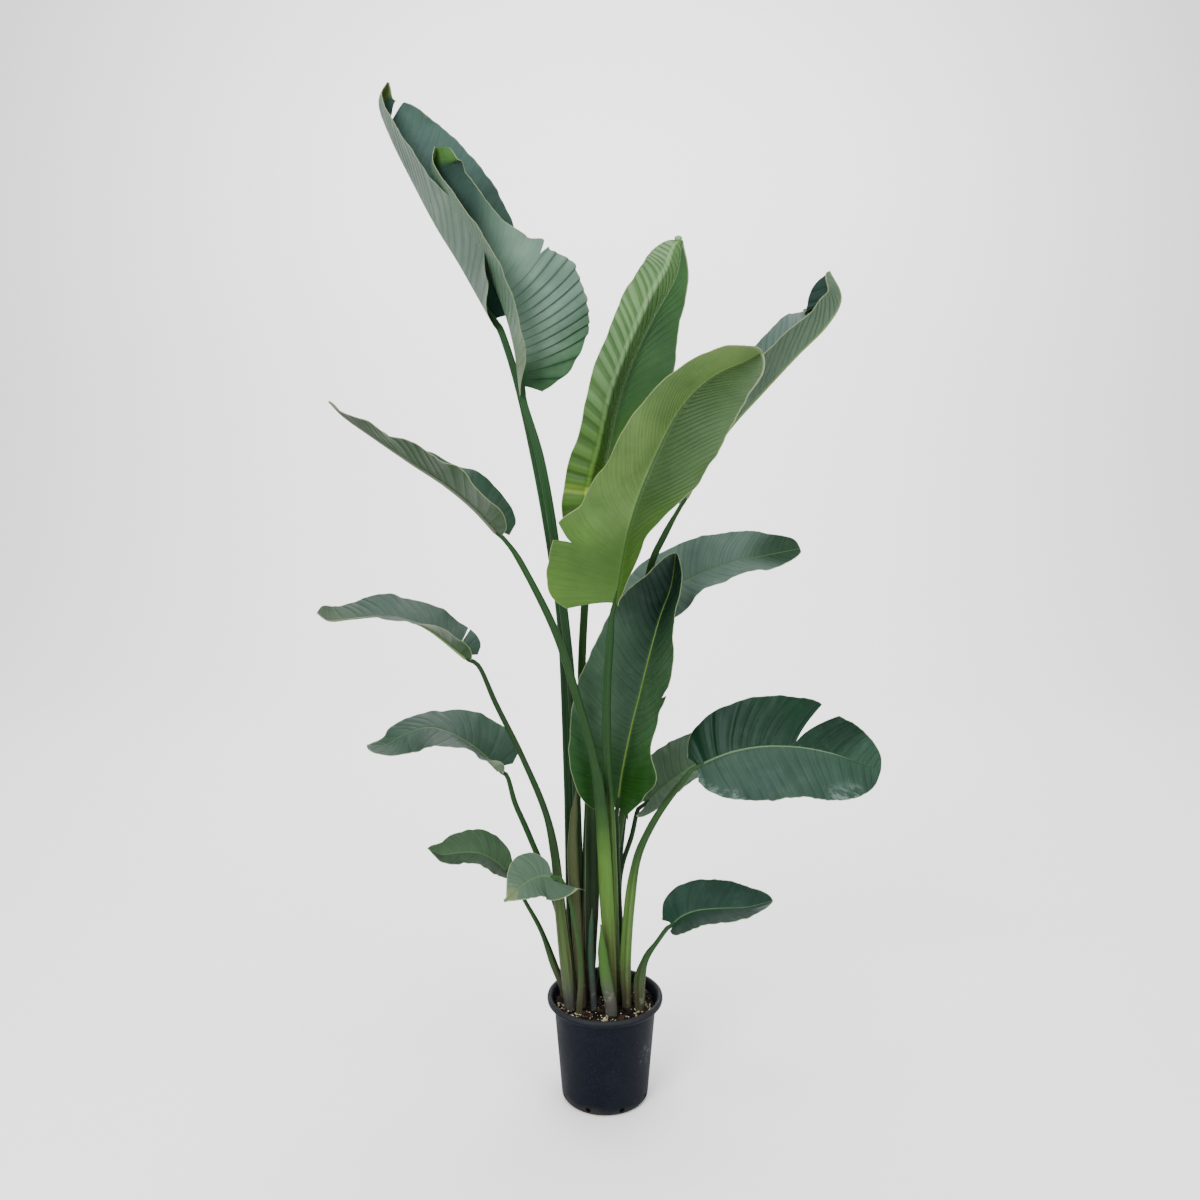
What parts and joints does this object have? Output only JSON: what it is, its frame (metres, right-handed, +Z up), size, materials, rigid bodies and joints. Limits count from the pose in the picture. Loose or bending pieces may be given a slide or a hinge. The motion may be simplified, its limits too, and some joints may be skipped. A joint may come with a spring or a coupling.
{
  "type": "potted bird of paradise",
  "caption": "Tall potted foliage plant: long petioles rise in fans from a plain round nursery pot and carry large folded, arching, partly torn leaves.",
  "frame": {"origin": "centre of the pot's flat base, on the surface it stands on", "axes": "+Z up, +X to the right and +Y away from the viewer in the picture"},
  "size_m": [1.1604, 0.4181, 2.1681],
  "materials": {
    "pot": "satin",
    "potting_mix": "matte",
    "stalk": "satin",
    "leaf_01": "satin",
    "leaf_02": "satin",
    "leaf_03": "satin",
    "leaf_04": "satin",
    "leaf_05": "satin",
    "leaf_06": "satin",
    "leaf_07": "satin",
    "leaf_08": "satin",
    "leaf_09": "satin",
    "leaf_10": "satin",
    "leaf_11": "satin",
    "leaf_12": "satin",
    "leaf_13": "satin",
    "leaf_14": "satin",
    "leaf_15": "satin",
    "sheath_front": "satin",
    "sheath_blue": "satin",
    "sheath_purple": "satin"
  },
  "bodies": {
    "root": {"pot": "pot", "soil": "potting_mix", "leaf_01_stalk": "stalk", "leaf_01_blade": "leaf_01", "leaf_02_stalk": "stalk", "leaf_02_blade": "leaf_02", "leaf_03_stalk": "stalk", "leaf_03_blade": "leaf_03", "leaf_04_stalk": "stalk", "leaf_04_blade": "leaf_04", "leaf_05_stalk": "stalk", "leaf_05_blade": "leaf_05", "leaf_06_stalk": "stalk", "leaf_06_blade": "leaf_06", "leaf_07_stalk": "stalk", "leaf_07_blade": "leaf_07", "leaf_08_stalk": "stalk", "leaf_08_blade": "leaf_08", "leaf_09_stalk": "stalk", "leaf_09_blade": "leaf_09", "leaf_10_stalk": "stalk", "leaf_10_blade": "leaf_10", "leaf_11_stalk": "stalk", "leaf_11_blade": "leaf_11", "leaf_12_stalk": "stalk", "leaf_12_blade": "leaf_12", "leaf_13_stalk": "stalk", "leaf_13_blade": "leaf_13", "leaf_14_stalk": "stalk", "leaf_14_blade": "leaf_14", "leaf_15_stalk": "stalk", "leaf_15_blade": "leaf_15", "sheath_front": "sheath_front", "sheath_blue": "sheath_blue", "sheath_purple": "sheath_purple"}
  },
  "joints": []
}
